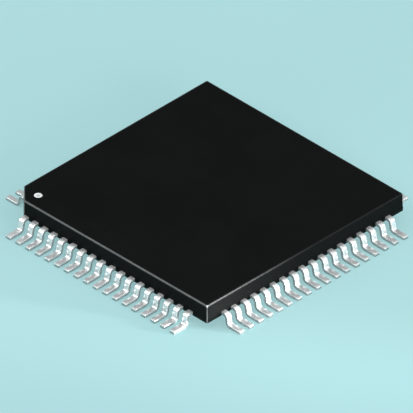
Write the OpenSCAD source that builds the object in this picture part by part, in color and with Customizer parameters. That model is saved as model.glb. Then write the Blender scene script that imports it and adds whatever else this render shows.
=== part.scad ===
// Thin quad flat pack with gull-wing leads on four sides, built with what it holds inside.
// Millimetres. Origin at the centre of the seating plane, +Z up.
// Pin 1 is at the -X, +Y corner and the pins count counter-clockwise seen from above:
// -X side first, then -Y, +X and +Y.

/* [Body] */
// Side of the square moulded body at the parting land
body_side = 10.2; // [10.15:0.05:11]
// Seating plane to top face
total_height = 1.15; // [1.1:0.05:1.6]
// Seating plane to the underside of the body
standoff = 0.1; // [0.05:0.01:0.15]
// Seating plane to the lower edge of the body's side walls
wall_foot = 0.385; // [0.34:0.005:0.4]
// How far the underside is set in from the side walls
lower_inset = 0.36; // [0.3:0.02:0.8]
// Mould draft of the side walls above the leads, degrees
draft_angle = 1.5; // [0:0.5:7]
// Bevel along the top edges and the upright corners
edge_bevel = 0.04; // [0.02:0.01:0.08]
// Leg of the large chamfer at the pin-1 corner
corner_cut = 0.69; // [0.3:0.01:0.7]

/* [Leads] */
// Leads on each side
pins_per_side = 18; // [8:1:18]
// Lead pitch
pitch = 0.5; // [0.4:0.01:0.5]
// Width of a lead outside the body
lead_width = 0.235; // [0.17:0.005:0.27]
// Thickness of the lead frame
lead_thickness = 0.125; // [0.09:0.005:0.14]
// Body wall to lead toe
lead_run = 0.98; // [0.9:0.02:1.2]
// Seating plane to the underside of a lead where it leaves the body
lead_exit = 0.435; // [0.42:0.005:0.5]
// Straight shoulder between the body wall and the first bend
shoulder = 0.11; // [0.05:0.01:0.2]
// Inner radius of both bends
bend_radius = 0.1; // [0.08:0.01:0.11]
// Fall of the lead between its bends, degrees from level
form_angle = 82; // [76:1:86]

/* [Inside] */
// Side of the square die pad
pad_side = 5; // [4.4:0.1:5.2]
// Width of the tie bars that carry the pad from the corners
tie_width = 0.3; // [0.2:0.02:0.34]
// Side of the square silicon die
die_side = 3.8; // [3:0.1:4]
// Thickness of the silicon die
die_thickness = 0.25; // [0.15:0.01:0.28]
// Thickness of the adhesive under the die
attach_thickness = 0.025; // [0.015:0.005:0.04]
// Bond wire thickness
wire_size = 0.025; // [0.018:0.001:0.03]
// Height of a bond wire's loop above the die
loop_height = 0.15; // [0.12:0.01:0.18]

/* [Pin-1 dot] */
// Diameter of the ink-filled dimple
dot_diameter = 0.31; // [0.2:0.01:0.5]
// Depth of the dimple
dot_depth = 0.02; // [0.01:0.005:0.04]
// Dot centre to the -X side of the body
dot_from_x = 0.63; // [0.6:0.01:1.2]
// Dot centre to the +Y side of the body
dot_from_y = 0.81; // [0.7:0.01:1.2]

/* [Hidden] */
$fn = 48;

half = body_side / 2;
last = (pins_per_side - 1) / 2;
lead_top = lead_exit + lead_thickness;
wall_height = total_height - lead_top;
draft_in = wall_height * tan(draft_angle);
// The chamfer always stays clear of the first lead.
cut = min(corner_cut, half - last * pitch - lead_width / 2 - 0.02);

// Fingers run in to a square ring around the pad and close up as they go.
tip_ring = 3;
tip_straight = 0.3;
tip_width = 0.15;
tip_pitch = min(pitch, (2 * tip_ring - 1.07) / (pins_per_side - 1));
root_straight = 0.3;

// Tie bars stop inside the pin-1 chamfer.
tie_reach = (body_side - 0.7) / sqrt(2) - 0.25;

die_floor = lead_top + attach_thickness;
die_top = die_floor + die_thickness;
bond_ring = die_side / 2 - 0.1;
bond_pitch = min(tip_pitch, (die_side - 0.7) / (pins_per_side - 1));
stitch_ring = tip_ring + tip_straight / 2;
ball_diameter = 2.4 * wire_size;
ball_height = 0.016;
// The loops always stay under the top face.
loop = min(loop_height, total_height - die_top - 0.08);

// Lead profile, outward distance from the wall against height.
mid_r = bend_radius + lead_thickness / 2;
fall = (lead_exit - 2 * mid_r * (1 - cos(form_angle))) / sin(form_angle);
riser_out = shoulder + mid_r * sin(form_angle);
riser_top = lead_exit + lead_thickness / 2 - mid_r * (1 - cos(form_angle));
foot_start = riser_out + fall * cos(form_angle) + mid_r * sin(form_angle);

mould = [0.075, 0.08, 0.08];
tin = [0.78, 0.79, 0.78];
copper = [0.76, 0.5, 0.34];
gold = [0.95, 0.76, 0.3];

// Turns a side's work, drawn for the +X side, to the four sides.
WEST = 180;
SOUTH = 270;
EAST = 0;
NORTH = 90;

// ---------- body ----------

// Cross-section through the body, the same along X and Y.
module body_section() {
    polygon([
        [-half + lower_inset, standoff],
        [half - lower_inset, standoff],
        [half, wall_foot],
        [half, lead_top],
        [half - draft_in * (wall_height - edge_bevel) / wall_height, total_height - edge_bevel],
        [half - draft_in - edge_bevel, total_height],
        [-half + draft_in + edge_bevel, total_height],
        [-half + draft_in * (wall_height - edge_bevel) / wall_height, total_height - edge_bevel],
        [-half, lead_top],
        [-half, wall_foot]
    ]);
}

// Plan outline: three small corner bevels and the large pin-1 chamfer.
module body_plan() {
    b = edge_bevel;
    polygon([
        [-half, -half + b], [-half + b, -half],
        [half - b, -half], [half, -half + b],
        [half, half - b], [half - b, half],
        [-half + cut, half], [-half, half - cut]
    ]);
}

module body_block() {
    intersection() {
        translate([0, body_side, 0]) rotate([90, 0, 0])
            linear_extrude(height = 2 * body_side) body_section();
        rotate([0, 0, 90]) translate([0, body_side, 0]) rotate([90, 0, 0])
            linear_extrude(height = 2 * body_side) body_section();
        linear_extrude(height = 2 * total_height) body_plan();
    }
}

module dot_place() {
    translate([-half + dot_from_x, half - dot_from_y, total_height - dot_depth]) children();
}

module body() {
    color(mould) difference() {
        body_block();
        dot_place() cylinder(d = dot_diameter, h = 2 * dot_depth);
        for (a = [WEST, SOUTH, EAST, NORTH]) rotate([0, 0, a]) {
            translate([0, 0, lead_exit]) linear_extrude(height = lead_thickness) finger_plans();
            wire_row();
        }
        pad_shape();
        attach_shape();
        die_shape();
    }
}

module pin1_dot() {
    color([0.93, 0.94, 0.93]) dot_place() cylinder(d = dot_diameter, h = dot_depth);
}

// ---------- leads ----------

// Plan of one lead of the +X side, from its bonding tip out past its toe.
module finger_plan(k) {
    far = half + 2;
    v = k * pitch;
    u = k * tip_pitch;
    polygon([
        [tip_ring, u - tip_width / 2],
        [tip_ring + tip_straight, u - tip_width / 2],
        [half - root_straight, v - lead_width / 2],
        [far, v - lead_width / 2],
        [far, v + lead_width / 2],
        [half - root_straight, v + lead_width / 2],
        [tip_ring + tip_straight, u + tip_width / 2],
        [tip_ring, u + tip_width / 2]
    ]);
}

module finger_plans() {
    for (k = [-last : last]) finger_plan(k);
}

// A quarter-like piece of a bend: the ring about c, kept between two directions.
module bend(c, from, to) {
    far = 2;
    translate(c) intersection() {
        difference() {
            circle(r = bend_radius + lead_thickness);
            circle(r = bend_radius);
        }
        polygon([[0, 0], far * [cos(from), sin(from)], far * [cos((from + to) / 2), sin((from + to) / 2)] * 1.5, far * [cos(to), sin(to)]]);
    }
}

// Side view of a lead: inner finger and shoulder, bend, riser, bend, foot.
module lead_profile() {
    t = lead_thickness;
    n = [sin(form_angle), cos(form_angle)] * t / 2;
    a = [riser_out, riser_top];
    b = a + fall * [cos(form_angle), -sin(form_angle)];
    translate([-half + tip_ring, lead_exit]) square([half - tip_ring + shoulder, t]);
    bend([shoulder, lead_exit - bend_radius], 90 - form_angle, 90);
    polygon([a - n, b - n, b + n, a + n]);
    bend([foot_start, t + bend_radius], 270 - form_angle, 270);
    translate([foot_start, 0]) square([lead_run - foot_start, t]);
}

module lead_row() {
    color(tin) intersection() {
        translate([half, half, 0]) rotate([90, 0, 0]) linear_extrude(height = body_side) lead_profile();
        translate([0, 0, -0.5]) linear_extrude(height = 2) finger_plans();
    }
}

module leads_west() { rotate([0, 0, WEST]) lead_row(); }
module leads_south() { rotate([0, 0, SOUTH]) lead_row(); }
module leads_east() { rotate([0, 0, EAST]) lead_row(); }
module leads_north() { rotate([0, 0, NORTH]) lead_row(); }

// ---------- die pad, adhesive and die ----------

module pad_shape() {
    translate([0, 0, lead_exit]) linear_extrude(height = lead_thickness) {
        square(pad_side, center = true);
        for (a = [45, 135]) rotate(a) square([2 * tie_reach, tie_width], center = true);
    }
}

module attach_shape() {
    side = die_side + 0.1;
    translate([-side / 2, -side / 2, lead_top]) cube([side, side, attach_thickness]);
}

module die_shape() {
    translate([-die_side / 2, -die_side / 2, die_floor]) cube([die_side, die_side, die_thickness]);
}

module die_pad() { color(copper) pad_shape(); }
module die_attach() { color([0.82, 0.83, 0.85]) attach_shape(); }
module die() { color([0.3, 0.32, 0.38]) die_shape(); }

// ---------- bond wires ----------

function unit(v) = v / norm(v);
function left_of(v) = [-v[1], v[0]];

// Offsets a polyline to one side, mitred at its corners.
function side_of(path, d) = [
    for (i = [0 : len(path) - 1])
        let (into = unit(path[max(i, 1)] - path[max(i, 1) - 1]),
             out = unit(path[min(i + 1, len(path) - 1)] - path[min(i, len(path) - 2)]),
             m = unit(into + out))
        path[i] + left_of(m) * d / (m * out)
];

function backwards(v) = [for (i = [len(v) - 1 : -1 : 0]) v[i]];

// Centre line of a wire over a span s: up from the ball, over, and down to the stitch.
function loop_path(s) =
    let (top = die_top + loop,
         low = lead_top + wire_size / 2,
         rise = die_top + ball_height / 2)
    [
        [0, rise],
        [0, top - 0.045],
        [0.022, top - 0.012],
        [0.075, top],
        [0.2 * s, top - 0.014],
        [0.5 * s, 0.62 * top + 0.38 * low],
        [s - 0.13, 0.22 * top + 0.78 * low],
        [s - 0.035, low],
        [s + 0.035, low]
    ];

// Wire of lead k on the +X side, from its place on the die to its finger.
module wire(k) {
    start = [bond_ring, k * bond_pitch];
    end = [stitch_ring, k * tip_pitch];
    run = end - start;
    path = loop_path(norm(run));
    translate([start[0], start[1], 0]) {
        translate([0, 0, die_top]) cylinder(d = ball_diameter, h = ball_height, $fn = 12);
        rotate([0, 0, atan2(run[1], run[0])]) translate([0, wire_size / 2, 0]) rotate([90, 0, 0])
            linear_extrude(height = wire_size)
                polygon(concat(side_of(path, wire_size / 2), backwards(side_of(path, -wire_size / 2))));
    }
}

module wire_row() {
    color(gold) for (k = [-last : last]) wire(k);
}

module wires_west() { rotate([0, 0, WEST]) wire_row(); }
module wires_south() { rotate([0, 0, SOUTH]) wire_row(); }
module wires_east() { rotate([0, 0, EAST]) wire_row(); }
module wires_north() { rotate([0, 0, NORTH]) wire_row(); }

// ---------- output ----------

body();
pin1_dot();
leads_west();
leads_south();
leads_east();
leads_north();
die_pad();
die_attach();
die();
wires_west();
wires_south();
wires_east();
wires_north();
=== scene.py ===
import math

import bmesh
import bpy
import numpy as np
from mathutils import Matrix, Vector
from mathutils.geometry import tessellate_polygon


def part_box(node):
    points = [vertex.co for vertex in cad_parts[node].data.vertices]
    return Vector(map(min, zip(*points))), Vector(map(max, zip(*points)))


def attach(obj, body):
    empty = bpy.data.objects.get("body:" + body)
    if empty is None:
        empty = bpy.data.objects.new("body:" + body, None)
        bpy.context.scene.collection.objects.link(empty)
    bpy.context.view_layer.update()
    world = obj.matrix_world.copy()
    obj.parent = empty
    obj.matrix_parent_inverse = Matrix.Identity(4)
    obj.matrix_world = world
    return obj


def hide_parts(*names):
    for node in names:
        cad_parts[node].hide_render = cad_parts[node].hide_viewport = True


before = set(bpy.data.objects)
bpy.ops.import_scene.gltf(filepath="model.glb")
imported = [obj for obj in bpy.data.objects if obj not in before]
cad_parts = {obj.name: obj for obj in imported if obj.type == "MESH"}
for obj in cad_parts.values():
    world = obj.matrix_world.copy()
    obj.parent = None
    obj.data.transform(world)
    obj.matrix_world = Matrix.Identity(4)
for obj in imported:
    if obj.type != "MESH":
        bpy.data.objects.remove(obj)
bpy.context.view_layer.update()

MM = 0.001

# ------------------------------------------------------------------ sizes, in mm, from the frame

body_lo, body_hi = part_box("body")
east_lo, east_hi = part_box("leads_east")
dot_lo, dot_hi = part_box("pin1_dot")
DIE_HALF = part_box("die")[1].x / 0.001

HALF = body_hi.x / MM                      # body wall
TOP = body_hi.z / MM                       # top face
UNDER = body_lo.z / MM                     # underside
LEAD_TOP = east_hi.z / MM                  # top of a lead where it leaves the body
TIP_RING = east_lo.x / MM                  # inner ends of the fingers
TOE = east_hi.x / MM - HALF                # wall to toe
ROW_HALF = east_hi.y / MM                  # outer edge of a row's last lead

PINS = 18
PITCH = 0.5
LEAD_T = 0.125
LEAD_W = 2 * (ROW_HALF - (PINS - 1) / 2 * PITCH)
WALL_FOOT = 0.385
UNDER_INSET = 0.36
DRAFT_IN = (TOP - LEAD_TOP) * math.tan(math.radians(1.5))
EDGE = 0.04
CORNER = 0.69
SHOULDER = 0.11
BEND_R = 0.1
FORM = math.radians(82)
TIP_STRAIGHT = 0.3
TIP_W = 0.15
TIP_PITCH = (2 * TIP_RING - 1.07) / (PINS - 1)
ROOT_STRAIGHT = 0.3
LEAD_EXIT = LEAD_TOP - LEAD_T

scene = bpy.context.scene


def link(obj):
    scene.collection.objects.link(obj)
    return obj


# ------------------------------------------------------------------ node helpers

class Nodes:
    """A short way to build one material's node tree."""

    def __init__(self, name):
        self.mat = bpy.data.materials.new(name)
        self.mat.use_nodes = True
        self.nt = self.mat.node_tree
        self.nt.nodes.clear()
        self.out = self.new("ShaderNodeOutputMaterial")
        self.bsdf = self.new("ShaderNodeBsdfPrincipled")
        self.nt.links.new(self.bsdf.outputs[0], self.out.inputs["Surface"])
        tc = self.new("ShaderNodeTexCoord")
        scale = self.new("ShaderNodeVectorMath", operation="SCALE")
        scale.inputs["Scale"].default_value = 1000.0
        self.nt.links.new(tc.outputs["Object"], scale.inputs[0])
        self.p = scale.outputs[0]          # the point, in millimetres

    def new(self, kind, **props):
        n = self.nt.nodes.new(kind)
        for k, v in props.items():
            setattr(n, k, v)
        return n

    def put(self, socket, value):
        if hasattr(value, "is_output"):
            self.nt.links.new(value, socket)
        else:
            socket.default_value = value

    def noise(self, scale, detail=2.0, rough=0.5, vector=None, dims="3D", lac=2.0):
        n = self.new("ShaderNodeTexNoise", noise_dimensions=dims)
        self.put(n.inputs["Vector"], vector or self.p)
        n.inputs["Scale"].default_value = scale
        n.inputs["Detail"].default_value = detail
        n.inputs["Roughness"].default_value = rough
        n.inputs["Lacunarity"].default_value = lac
        return n.outputs["Fac"]

    def voronoi(self, scale, feature="F1", vector=None, randomness=1.0):
        n = self.new("ShaderNodeTexVoronoi", feature=feature)
        self.put(n.inputs["Vector"], vector or self.p)
        n.inputs["Scale"].default_value = scale
        n.inputs["Randomness"].default_value = randomness
        return n.outputs["Distance"]

    def ramp(self, value, a, b, lo=0.0, hi=1.0, smooth=True):
        n = self.new("ShaderNodeMapRange", interpolation_type="SMOOTHSTEP" if smooth else "LINEAR")
        n.clamp = True
        self.put(n.inputs["Value"], value)
        for k, v in (("From Min", a), ("From Max", b), ("To Min", lo), ("To Max", hi)):
            self.put(n.inputs[k], v)
        return n.outputs["Result"]

    def math(self, op, a, b=None, c=None, clamp=False):
        n = self.new("ShaderNodeMath", operation=op)
        n.use_clamp = clamp
        self.put(n.inputs[0], a)
        if b is not None:
            self.put(n.inputs[1], b)
        if c is not None:
            self.put(n.inputs[2], c)
        return n.outputs[0]

    def mix(self, fac, a, b):
        n = self.new("ShaderNodeMix", data_type="RGBA", blend_type="MIX")
        self.put(n.inputs["Factor"], fac)
        self.put(n.inputs[6], a if hasattr(a, "is_output") else (*a, 1.0))
        self.put(n.inputs[7], b if hasattr(b, "is_output") else (*b, 1.0))
        return n.outputs[2]

    def attribute(self, name):
        n = self.new("ShaderNodeAttribute", attribute_name=name)
        return n.outputs["Fac"]

    def xyz(self):
        n = self.new("ShaderNodeSeparateXYZ")
        self.put(n.inputs[0], self.p)
        return n.outputs[0], n.outputs[1], n.outputs[2]

    def bump(self, height, distance_um, strength=1.0, normal=None):
        n = self.new("ShaderNodeBump")
        n.inputs["Strength"].default_value = strength
        n.inputs["Distance"].default_value = distance_um * 1e-6
        self.put(n.inputs["Height"], height)
        if normal is not None:
            self.put(n.inputs["Normal"], normal)
        return n.outputs["Normal"]

    def set(self, **sockets):
        for k, v in sockets.items():
            name = k.replace("_", " ")
            if isinstance(v, tuple) and len(v) == 3:
                v = (*v, 1.0)
            self.put(self.bsdf.inputs[name], v)
        return self.mat


# ------------------------------------------------------------------ materials

def mould_material():
    m = Nodes("mould_compound")
    edge = m.attribute("edge")
    # large, faint clouding of the resin and a very fine spark-eroded mould skin
    cloud = m.noise(0.55, 3.0, 0.55)
    skin = m.noise(16.0, 4.0, 0.62)
    grain = m.noise(48.0, 2.0, 0.5)
    specks = m.ramp(m.voronoi(21.0), 0.05, 0.16, 1.0, 0.0)
    face = m.mix(m.ramp(cloud, 0.3, 0.7), (0.0018, 0.0022, 0.0021), (0.0027, 0.0031, 0.0030))
    face = m.mix(m.math("MULTIPLY", specks, 0.30), face, (0.018, 0.020, 0.019))
    # edges: a paler tone, partly worn compound and partly painted highlight; the painted highlight is strongest round
    # the front corner and fades along the south edge
    x, y, z = m.xyz()
    south = m.ramp(y, -HALF + 0.07, -HALF + 0.16, 1.0, 0.0)
    along = m.ramp(x, -HALF + 0.1, 0.4, 0.58, 0.06)
    rest = m.ramp(x, -HALF + 0.3, -HALF + 1.2, 1.0, 0.55)
    wear_and_highlight_strength = m.math("ADD", m.math("MULTIPLY", south, along), m.math("MULTIPLY", m.math("SUBTRACT", 1.0, south), rest))
    chips = m.math("SUBTRACT", m.noise(19.0, 4.0, 0.65), 0.5)
    broken = m.ramp(m.math("ADD", edge, m.math("MULTIPLY", chips, 0.8)), 0.15, 0.85)
    in_x = m.math("SUBTRACT", HALF, m.math("ABSOLUTE", x))
    in_y = m.math("SUBTRACT", HALF, m.math("ABSOLUTE", y))
    down = m.math("SUBTRACT", TOP, z)
    near = m.math("ADD", m.math("MINIMUM", in_x, in_y), down)
    fringe = m.ramp(m.math("ADD", near, m.math("MULTIPLY", chips, 0.035)), 0.052, 0.088, 0.55, 0.0)
    broken = m.math("MAXIMUM", broken, fringe)
    patchy = m.ramp(m.noise(2.6, 4.0, 0.6), 0.22, 0.62, 0.80, 1.0)
    edge_wear_and_highlight = m.math("MULTIPLY", m.math("MULTIPLY", broken, wear_and_highlight_strength), patchy)
    # pale edge colour: worn compound plus painted highlight
    col = m.mix(edge_wear_and_highlight, face, (0.155, 0.158, 0.158))
    # the corners get the palest tone: a painted highlight over the worn corner, strongest round the front corner
    off = m.math("ADD", m.math("ADD", in_x, in_y), down)
    tip = m.ramp(m.math("ADD", off, m.math("MULTIPLY", chips, 0.04)), 0.08, 0.16, 1.0, 0.0)
    col = m.mix(m.math("MULTIPLY", tip, wear_and_highlight_strength), col, (0.60, 0.605, 0.605))
    rough = m.math("ADD", m.ramp(grain, 0.3, 0.7, 0.52, 0.62), m.math("MULTIPLY", edge, -0.16))
    height = m.math("ADD", m.math("MULTIPLY", skin, 0.7), m.math("MULTIPLY", grain, 0.3))
    normal = m.bump(height, 5.0, 0.7)
    return m.set(Base_Color=col, Roughness=rough, Normal=normal, IOR=1.5, Specular_IOR_Level=0.06)


def tin_material():
    m = Nodes("tin_plate")
    x, y, z = m.xyz()
    out = m.math("SUBTRACT", m.math("MAXIMUM", m.math("ABSOLUTE", x), m.math("ABSOLUTE", y)), HALF)
    grain = m.noise(34.0, 3.0, 0.6)
    fine = m.noise(90.0, 2.0, 0.55)
    mottle = m.noise(3.2, 3.0, 0.55)
    col = m.mix(m.ramp(mottle, 0.32, 0.68), (0.76, 0.765, 0.765), (0.86, 0.86, 0.86))
    # thin resin film and flux-grey film where the lead comes out of the moulding
    root = m.ramp(m.math("ADD", out, m.math("MULTIPLY", m.math("SUBTRACT", grain, 0.5), 0.03)), 0.0, 0.035, 0.75, 0.0)
    col = m.mix(root, col, (0.20, 0.21, 0.21))
    # inside the body the frame is bare alloy, with silver spots where the wires are bonded
    inside = m.ramp(out, -0.02, -0.005, 1.0, 0.0)
    spot = m.ramp(out, -HALF + TIP_RING + 0.42, -HALF + TIP_RING + 0.45, 1.0, 0.0)
    frame_col = m.mix(m.ramp(mottle, 0.3, 0.7), (0.60, 0.345, 0.235), (0.72, 0.43, 0.29))
    frame_col = m.mix(spot, frame_col, (0.86, 0.85, 0.82))
    col = m.mix(inside, col, frame_col)
    # drawn marks of the forming tool on both bends
    bend = m.ramp(m.math("ABSOLUTE", m.math("SUBTRACT", z, 0.28)), 0.10, 0.24, 1.0, 0.0)
    rough = m.math("ADD", m.ramp(grain, 0.3, 0.7, 0.22, 0.31), m.math("MULTIPLY", root, 0.25))
    rough = m.math("SUBTRACT", rough, m.math("MULTIPLY", bend, 0.03))
    height = m.math("ADD", m.math("MULTIPLY", grain, 0.65), m.math("MULTIPLY", fine, 0.35))
    normal = m.bump(height, 1.6, 0.5)
    return m.set(Base_Color=col, Metallic=0.62, Roughness=rough, Normal=normal)


def sheared_material():
    m = Nodes("sheared_toe")
    x, y, z = m.xyz()
    smear = m.ramp(m.math("ADD", z, m.math("MULTIPLY", m.noise(26.0, 3.0, 0.6), 0.05)), 0.06, 0.11)
    tear = m.noise(60.0, 3.0, 0.65)
    col = m.mix(smear, (0.34, 0.335, 0.325), (0.66, 0.665, 0.66))
    rough = m.math("ADD", m.math("MULTIPLY", smear, -0.14), m.ramp(tear, 0.3, 0.7, 0.44, 0.58))
    normal = m.bump(tear, 3.0, 0.7)
    return m.set(Base_Color=col, Metallic=1.0, Roughness=rough, Normal=normal)


def side_material():
    """The lead's stamped sides: a rougher, less metallic copy of the plating with lighter torn specks; its darker
    grey is painted shade between neighbouring leads.
    """
    m = Nodes("stamped_side_shaded")
    x, y, z = m.xyz()
    along = m.noise(7.0, 3.0, 0.6)
    tear = m.noise(48.0, 3.0, 0.65)
    col = m.mix(m.ramp(along, 0.3, 0.7), (0.32, 0.335, 0.335), (0.42, 0.435, 0.435))
    col = m.mix(m.ramp(tear, 0.45, 0.75, 0.0, 0.35), col, (0.54, 0.55, 0.55))
    return m.set(Base_Color=col, Metallic=0.40, Roughness=m.ramp(tear, 0.3, 0.7, 0.38, 0.52), Normal=m.bump(tear, 2.0, 0.6))


def ink_material():
    m = Nodes("marking_ink")
    centre = m.attribute("centre")
    speck = m.noise(30.0, 4.0, 0.65)
    col = m.mix(m.ramp(speck, 0.3, 0.75), (0.66, 0.675, 0.675), (0.80, 0.81, 0.81))
    col = m.mix(m.math("MULTIPLY", centre, m.ramp(speck, 0.35, 0.6, 1.0, 0.7)), col, (0.34, 0.355, 0.355))
    normal = m.bump(speck, 2.0, 0.6)
    return m.set(Base_Color=col, Roughness=m.ramp(speck, 0.3, 0.7, 0.42, 0.6), Normal=normal, Specular_IOR_Level=0.4)


def alloy_material():
    m = Nodes("bare_lead_frame")
    streak = m.noise(9.0, 4.0, 0.6)
    fine = m.noise(60.0, 3.0, 0.6)
    col = m.mix(m.ramp(streak, 0.3, 0.7), (0.60, 0.345, 0.235), (0.72, 0.43, 0.29))
    return m.set(Base_Color=col, Metallic=1.0, Roughness=m.ramp(fine, 0.3, 0.7, 0.3, 0.42), Normal=m.bump(fine, 1.2, 0.5))


def adhesive_material():
    m = Nodes("die_adhesive")
    flake = m.voronoi(60.0)
    col = m.mix(m.ramp(flake, 0.1, 0.5), (0.70, 0.71, 0.72), (0.44, 0.45, 0.46))
    return m.set(Base_Color=col, Metallic=0.6, Roughness=m.ramp(flake, 0.0, 0.6, 0.35, 0.6), Normal=m.bump(flake, 1.5, 0.6))


def silicon_material():
    """A passivated die: rectangular blocks of circuitry under glass, sawn bare sides."""
    m = Nodes("silicon")
    saw = m.noise(40.0, 2.0, 0.5)

    def blocks(step):
        snap = m.new("ShaderNodeVectorMath", operation="SNAP")
        m.put(snap.inputs[0], m.p)
        snap.inputs[1].default_value = step
        rnd = m.new("ShaderNodeTexWhiteNoise", noise_dimensions="3D")
        m.put(rnd.inputs["Vector"], snap.outputs[0])
        return rnd.outputs["Value"]

    big, fine = blocks((0.62, 0.48, 5.0)), blocks((0.05, 0.12, 5.0))
    tone = m.mix(big, (0.060, 0.072, 0.100), (0.130, 0.120, 0.135))
    tone = m.mix(m.math("MULTIPLY", fine, 0.55), tone, (0.165, 0.150, 0.120))
    x, y, z = m.xyz()
    rim = m.ramp(m.math("MAXIMUM", m.math("ABSOLUTE", x), m.math("ABSOLUTE", y)), DIE_HALF - 0.06, DIE_HALF - 0.05)
    col = m.mix(rim, tone, (0.115, 0.118, 0.125))
    height = m.math("ADD", m.math("MULTIPLY", fine, 0.4), m.math("MULTIPLY", saw, 0.6))
    return m.set(Base_Color=col, Metallic=0.35, Roughness=m.ramp(saw, 0.3, 0.7, 0.12, 0.24), Normal=m.bump(height, 0.4, 0.4))


def gold_material():
    m = Nodes("gold_wire")
    fine = m.noise(120.0, 2.0, 0.5)
    col = m.mix(m.ramp(fine, 0.3, 0.7), (0.85, 0.60, 0.20), (0.95, 0.70, 0.27))
    return m.set(Base_Color=col, Metallic=1.0, Roughness=m.ramp(fine, 0.3, 0.7, 0.16, 0.28), Normal=m.bump(fine, 0.3, 0.4))


def floor_material():
    """Pale translucent acrylic over a light table: part of its tone is its own even glow."""
    m = Nodes("floor_acrylic")
    soft = m.noise(0.05, 2.0, 0.5)
    tooth = m.noise(6.0, 3.0, 0.6)
    col = m.mix(m.ramp(soft, 0.3, 0.7), (0.133, 0.221, 0.227), (0.139, 0.229, 0.236))
    glow = m.mix(m.ramp(soft, 0.3, 0.7), (0.262, 0.436, 0.449), (0.270, 0.448, 0.461))
    return m.set(Base_Color=col, Roughness=m.ramp(tooth, 0.3, 0.7, 0.85, 0.95), Normal=m.bump(tooth, 2.0, 0.3),
                 Specular_IOR_Level=0.1, Emission_Color=glow, Emission_Strength=1.0)


MOULD = mould_material()
TIN = tin_material()
TOE_METAL = sheared_material()
SHADED_SIDE_METAL = side_material()
INK = ink_material()
ALLOY = alloy_material()
ADHESIVE = adhesive_material()
SILICON = silicon_material()
GOLD = gold_material()


# ------------------------------------------------------------------ mesh helpers

def finish_mesh(bm, name, materials, smooth=True):
    bmesh.ops.recalc_face_normals(bm, faces=bm.faces)
    for f in bm.faces:
        f.smooth = smooth
    mesh = bpy.data.meshes.new(name)
    bm.to_mesh(mesh)
    bm.free()
    obj = link(bpy.data.objects.new(name, mesh))
    for mat in materials:
        mesh.materials.append(mat)
    return obj


def weighted_normals(obj):
    """Keeps the flats flat and lets only the small roundings turn the shading."""
    mod = obj.modifiers.new("weighted", "WEIGHTED_NORMAL")
    mod.mode = "FACE_AREA"
    mod.weight = 100
    mod.keep_sharp = True
    return obj


# ------------------------------------------------------------------ body

def body_mesh():
    bm = bmesh.new()
    step = 0.007                            # the upper mould half is a touch smaller than the lower

    def ring(half, z, cut):
        h = half
        pts = [(-h, -h), (h, -h), (h, h), (-h + cut, h), (-h, h - cut)]
        return [bm.verts.new((x * MM, y * MM, z * MM)) for x, y in pts]

    # the chamfer keeps its plane: its legs shrink as the outline moves in
    def leg(inset):
        return max(CORNER - inset, 0.05)

    levels = [
        (HALF - UNDER_INSET, UNDER, leg(UNDER_INSET)),
        (HALF, WALL_FOOT, CORNER),
        (HALF, LEAD_TOP, CORNER),
        (HALF - step, LEAD_TOP + step, CORNER - step),
        (HALF - DRAFT_IN, TOP, CORNER - DRAFT_IN),
    ]
    rings = [ring(*l) for l in levels]
    n = 5
    for a, b in zip(rings, rings[1:]):
        for i in range(n):
            j = (i + 1) % n
            bm.faces.new((a[i], a[j], b[j], b[i]))
    bm.faces.new(list(reversed(rings[0])))
    bm.faces.new(rings[-1])
    bm.edges.ensure_lookup_table()

    def between(v, w):
        return next(e for e in v.link_edges if e.other_vert(v) is w)

    top_edges = [between(rings[-1][i], rings[-1][(i + 1) % n]) for i in range(n)]
    uprights = [between(rings[k][i], rings[k + 1][i]) for k in range(len(rings) - 1) for i in range(n)]
    under_edges = [between(rings[0][i], rings[0][(i + 1) % n]) for i in range(n)]
    bmesh.ops.bevel(
        bm, geom=top_edges + uprights + under_edges, offset=EDGE * MM, offset_type="OFFSET",
        segments=4, profile=0.5, affect="EDGES", clamp_overlap=True, material=-1,
        miter_outer="SHARP", miter_inner="SHARP",
    )
    bmesh.ops.remove_doubles(bm, verts=bm.verts, dist=1e-9)

    # rounded faces get the pale edge tone, partly wear and partly painted highlight: a vertex belongs to an edge if
    # none of its faces is a large flat
    bm.faces.ensure_lookup_table()
    flats = {f for f in bm.faces if f.calc_area() > 0.3 * MM * MM}
    top_face = max((f for f in bm.faces if f.normal.z > 0.99), key=lambda f: f.calc_area())

    # pin-1 dimple: a round recess with a softened lip
    cx, cy = (dot_lo.x + dot_hi.x) / 2, (dot_lo.y + dot_hi.y) / 2
    r = (dot_hi.x - dot_lo.x) / 2
    depth = TOP * MM - dot_lo.z
    seg = 64
    lip = 0.006 * MM
    profile = [(r + 0.09 * MM, 0.0), (r + 0.045 * MM, 0.0), (r + lip, 0.0), (r + 0.3 * lip, -0.3 * lip), (r, -lip), (r, -depth)]
    loops = []
    for rr, dz in profile:
        loops.append([
            bm.verts.new((cx + rr * math.cos(2 * math.pi * k / seg), cy + rr * math.sin(2 * math.pi * k / seg), TOP * MM + dz))
            for k in range(seg)
        ])
    for a, b in zip(loops, loops[1:]):
        for k in range(seg):
            j = (k + 1) % seg
            bm.faces.new((a[k], a[j], b[j], b[k]))
    bm.faces.new(loops[-1])
    outer = [v for v in top_face.verts]
    flats.discard(top_face)
    bm.faces.remove(top_face)
    verts = outer + loops[0]
    for tri in tessellate_polygon([[v.co.copy() for v in outer], [v.co.copy() for v in loops[0]]]):
        f = bm.faces.new([verts[i] for i in tri])
        flats.add(f)

    layer = bm.verts.layers.float.new("edge")
    for v in bm.verts:
        v[layer] = 0.0
    for f in bm.faces:
        if f in flats or f.calc_area() > 0.3 * MM * MM:
            continue
        c = f.calc_center_median()
        if math.hypot(c.x - cx, c.y - cy) < 1.8 * r and c.z > 0.9 * TOP * MM:
            continue
        for v in f.verts:
            if not any(g in flats for g in v.link_faces):
                v[layer] = 1.0
    return bm


body = finish_mesh(body_mesh(), "moulded_body", [MOULD])
weighted_normals(body)
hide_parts("body")
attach(body, "root")


# ------------------------------------------------------------------ pin-1 dot

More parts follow.
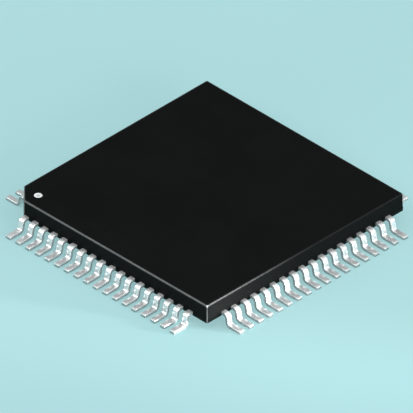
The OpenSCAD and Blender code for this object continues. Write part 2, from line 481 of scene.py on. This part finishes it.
def dot_mesh():
    bm = bmesh.new()
    cx, cy = (dot_lo.x + dot_hi.x) / 2, (dot_lo.y + dot_hi.y) / 2
    r = (dot_hi.x - dot_lo.x) / 2
    seg = 64
    top, low = dot_hi.z, dot_lo.z
    # a filled dimple dries with a raised rim and a sunk middle
    rows = [(1.0, low), (1.0, top - 0.004 * MM), (0.975, top - 0.0012 * MM), (0.93, top), (0.86, top - 0.0012 * MM),
            (0.72, top - 0.0042 * MM), (0.52, top - 0.0072 * MM), (0.28, top - 0.0088 * MM)]
    loops = []
    for s, z in rows:
        loops.append([
            bm.verts.new((cx + s * r * math.cos(2 * math.pi * k / seg), cy + s * r * math.sin(2 * math.pi * k / seg), z))
            for k in range(seg)
        ])
    for a, b in zip(loops, loops[1:]):
        for k in range(seg):
            j = (k + 1) % seg
            bm.faces.new((a[k], a[j], b[j], b[k]))
    bm.faces.new(list(reversed(loops[0])))
    tip = bm.verts.new((cx, cy, top - 0.0092 * MM))
    for k in range(seg):
        bm.faces.new((loops[-1][k], loops[-1][(k + 1) % seg], tip))
    layer = bm.verts.layers.float.new("centre")
    for v in bm.verts:
        d = math.hypot(v.co.x - cx, v.co.y - cy) / r
        v[layer] = max(0.0, min(1.0, (0.62 - d) / 0.4)) if v.co.z > low + 0.002 * MM else 0.0
    return bm


dot = finish_mesh(dot_mesh(), "pin1_ink", [INK])
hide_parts("pin1_dot")
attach(dot, "root")


# ------------------------------------------------------------------ leads

def section(width, thick, top_r, low_r, shrink=0.0):
    """Outline of a stamped lead: rolled-over top edges, crisper under edges. Points are (across, up)."""
    w, t = width / 2 - shrink, thick / 2 - shrink
    tr, lr = max(top_r - shrink, 0.002), max(low_r - shrink, 0.002)
    pts = []
    for cx, cy, r, a0, steps in (
        (w - lr, -t + lr, lr, -90, 2),
        (w - tr, t - tr, tr, 0, 4),
        (-w + tr, t - tr, tr, 90, 4),
        (-w + lr, -t + lr, lr, 180, 2),
    ):
        for k in range(steps + 1):
            a = math.radians(a0 + 90 * k / steps)
            pts.append((cx + r * math.cos(a), cy + r * math.sin(a)))
    return pts


def lead_line():
    """The lead's centre line outside the body: (out from the wall, height, fall angle)."""
    mid = BEND_R + LEAD_T / 2
    fall = (LEAD_EXIT - 2 * mid * (1 - math.cos(FORM))) / math.sin(FORM)
    pts = [(0.0, LEAD_EXIT + LEAD_T / 2, 0.0)]
    steps = 12
    for k in range(steps + 1):
        a = FORM * k / steps
        pts.append((SHOULDER + mid * math.sin(a), LEAD_EXIT + LEAD_T / 2 - mid * (1 - math.cos(a)), a))
    o1, z1, _ = pts[-1]
    o2, z2 = o1 + fall * math.cos(FORM), z1 - fall * math.sin(FORM)
    cx = o2 + mid * math.sin(FORM)
    for k in range(steps + 1):
        a = FORM * (1 - k / steps)
        pts.append((cx - mid * math.sin(a), LEAD_T / 2 + mid * (1 - math.cos(a)), a))
    pts.append((0.78 * TOE + 0.22 * cx, LEAD_T / 2, 0.0))
    return pts


LINE = lead_line()


def add_lead(bm, k, outward, across):
    """One whole lead: bonding finger inside the body, shoulder, two bends, foot and sheared toe."""
    v_off, u_off = k * PITCH, k * TIP_PITCH
    up = Vector((0, 0, 1))
    z_in = LEAD_EXIT + LEAD_T / 2
    stations = []                            # (reach, height, angle, offset, width, shrink)
    stations.append((TIP_RING, z_in, 0, u_off, TIP_W, 0.006))
    stations.append((TIP_RING + 0.006, z_in, 0, u_off, TIP_W, 0))
    stations.append((TIP_RING + TIP_STRAIGHT, z_in, 0, u_off, TIP_W, 0))
    stations.append((HALF - ROOT_STRAIGHT, z_in, 0, v_off, LEAD_W, 0))
    for o, z, a in LINE:
        stations.append((HALF + o, z, a, v_off, LEAD_W, 0))
    roll = 0.012
    stations.append((HALF + TOE - roll, LEAD_T / 2, 0, v_off, LEAD_W, 0))
    stations.append((HALF + TOE - 0.3 * roll, LEAD_T / 2, 0, v_off, LEAD_W, 0.3 * roll))
    stations.append((HALF + TOE, LEAD_T / 2, 0, v_off, LEAD_W, roll))
    rings = []
    for reach, z, a, off, width, shrink in stations:
        centre = outward * reach + across * off + up * z
        normal = up * math.cos(a) + outward * math.sin(a)
        rings.append([
            bm.verts.new((centre + across * s + normal * t) * MM)
            for s, t in section(width, LEAD_T, 0.022, 0.008, shrink)
        ])
    n = len(rings[0])
    last = len(rings) - 2
    sides = {2, n - 4}                       # the two straight runs of the outline that face along the row
    for i, (a, b) in enumerate(zip(rings, rings[1:])):
        for j in range(n):
            f = bm.faces.new((a[j], a[(j + 1) % n], b[(j + 1) % n], b[j]))
            # index 2 on the sides is the darker metal that carries painted shade between leads
            f.material_index = 1 if i >= last else (2 if j in sides else 0)
    bm.faces.new(list(reversed(rings[0])))
    cap = bm.faces.new(rings[-1])
    cap.material_index = 1


SIDES = {
    "west": (Vector((-1, 0, 0)), Vector((0, -1, 0))),
    "south": (Vector((0, -1, 0)), Vector((1, 0, 0))),
    "east": (Vector((1, 0, 0)), Vector((0, 1, 0))),
    "north": (Vector((0, 1, 0)), Vector((-1, 0, 0))),
}

for side, (outward, across) in SIDES.items():
    bm = bmesh.new()
    for i in range(PINS):
        add_lead(bm, i - (PINS - 1) / 2, outward, across)
    row = finish_mesh(bm, "lead_row_" + side, [TIN, TOE_METAL, SHADED_SIDE_METAL])
    weighted_normals(row)
    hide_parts("leads_" + side)
    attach(row, "root")


# ------------------------------------------------------------------ what the body holds: the CAD's own solids

def finish_node(name, mat):
    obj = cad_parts[name]
    if not obj.material_slots:
        obj.data.materials.append(mat)
    for s in obj.material_slots:
        s.material = mat


for name, mat in (("die_pad", ALLOY), ("die_attach", ADHESIVE), ("die", SILICON),
                  ("wires_west", GOLD), ("wires_south", GOLD), ("wires_east", GOLD), ("wires_north", GOLD)):
    finish_node(name, mat)


# ------------------------------------------------------------------ floor, light, camera

def plane(name, size, z, mat):
    bm = bmesh.new()
    s = size / 2
    bm.faces.new([bm.verts.new((x * s, y * s, z)) for x, y in ((-1, -1), (1, -1), (1, 1), (-1, 1))])
    obj = finish_mesh(bm, name, [mat], smooth=False)
    return obj


floor = plane("floor", 1.6, -2e-6, floor_material())


def area_light(name, where, aim, size, radiance, colour=(1, 1, 1), size_y=None, spread=180):
    """A softbox: where and aim in mm, size in mm, and its own brightness as seen."""
    data = bpy.data.lights.new(name, "AREA")
    data.shape = "RECTANGLE"
    data.size = size * MM
    data.size_y = (size_y or size) * MM
    data.energy = radiance * math.pi * data.size * data.size_y
    data.color = colour
    data.spread = math.radians(spread)
    obj = link(bpy.data.objects.new(name, data))
    a, b = Vector(where) * MM, Vector(aim) * MM
    obj.location = a
    obj.rotation_mode = "QUATERNION"
    obj.rotation_quaternion = (b - a).to_track_quat("-Z", "Y")
    obj.visible_camera = False
    return obj


world = bpy.data.worlds.new("studio")
scene.world = world
world.use_nodes = True
wn = world.node_tree
wn.nodes.clear()
w_out = wn.nodes.new("ShaderNodeOutputWorld")
w_bg = wn.nodes.new("ShaderNodeBackground")
wn.links.new(w_bg.outputs[0], w_out.inputs[0])
w_tc = wn.nodes.new("ShaderNodeTexCoord")
w_sep = wn.nodes.new("ShaderNodeSeparateXYZ")
w_rise = wn.nodes.new("ShaderNodeMapRange")
w_mix = wn.nodes.new("ShaderNodeMix")
w_mix.data_type = "RGBA"
wn.links.new(w_tc.outputs["Generated"], w_sep.inputs[0])
wn.links.new(w_sep.outputs[2], w_rise.inputs["Value"])
w_rise.inputs["From Min"].default_value = 0.02
w_rise.inputs["From Max"].default_value = 0.22
wn.links.new(w_rise.outputs["Result"], w_mix.inputs["Factor"])
w_mix.inputs[6].default_value = (0.418, 0.694, 0.716, 1)
w_mix.inputs[7].default_value = (0.34, 0.365, 0.375, 1)
wn.links.new(w_mix.outputs[2], w_bg.inputs["Color"])
w_bg.inputs["Strength"].default_value = 1.0

area_light("overhead", (0, 0, 260), (0, 0, 0), 260, 1.2)
area_light("left_box", (-150, 150, 150), (0, 0, 0), 125, 5.5)
area_light("right_box", (140, -170, 150), (0, 0, 0), 115, 4.5)
area_light("front_box", (-16, -150, 34), (0, -3, 0), 130, 11.0, size_y=56)
area_light("corner_box", (16, -44, 4.0), (-6.2, -5.1, 0.9), 5, 8.0, size_y=3, spread=11)

scene.view_settings.view_transform = "Standard"
scene.view_settings.look = "None"

AZ, EL = math.radians(-45.0), math.radians(35.264)
right = Vector((math.cos(AZ), math.sin(AZ), 0))
back = Vector((math.sin(AZ) * math.cos(EL), -math.cos(AZ) * math.cos(EL), math.sin(EL)))
upward = back.cross(right)
PX = 27.26                                   # picture elements per mm at 413 across
target = (right * (-0.49 / PX) + upward * (12.34 / PX)) * MM
cam_data = bpy.data.cameras.new("camera")
cam_data.type = "ORTHO"
cam_data.ortho_scale = 413 / PX * MM
cam_data.clip_start = 0.001
cam_data.clip_end = 5.0
camera = link(bpy.data.objects.new("camera", cam_data))
camera.location = target + back * 0.08
camera.rotation_mode = "QUATERNION"
camera.rotation_quaternion = back.to_track_quat("Z", "Y")
scene.camera = camera
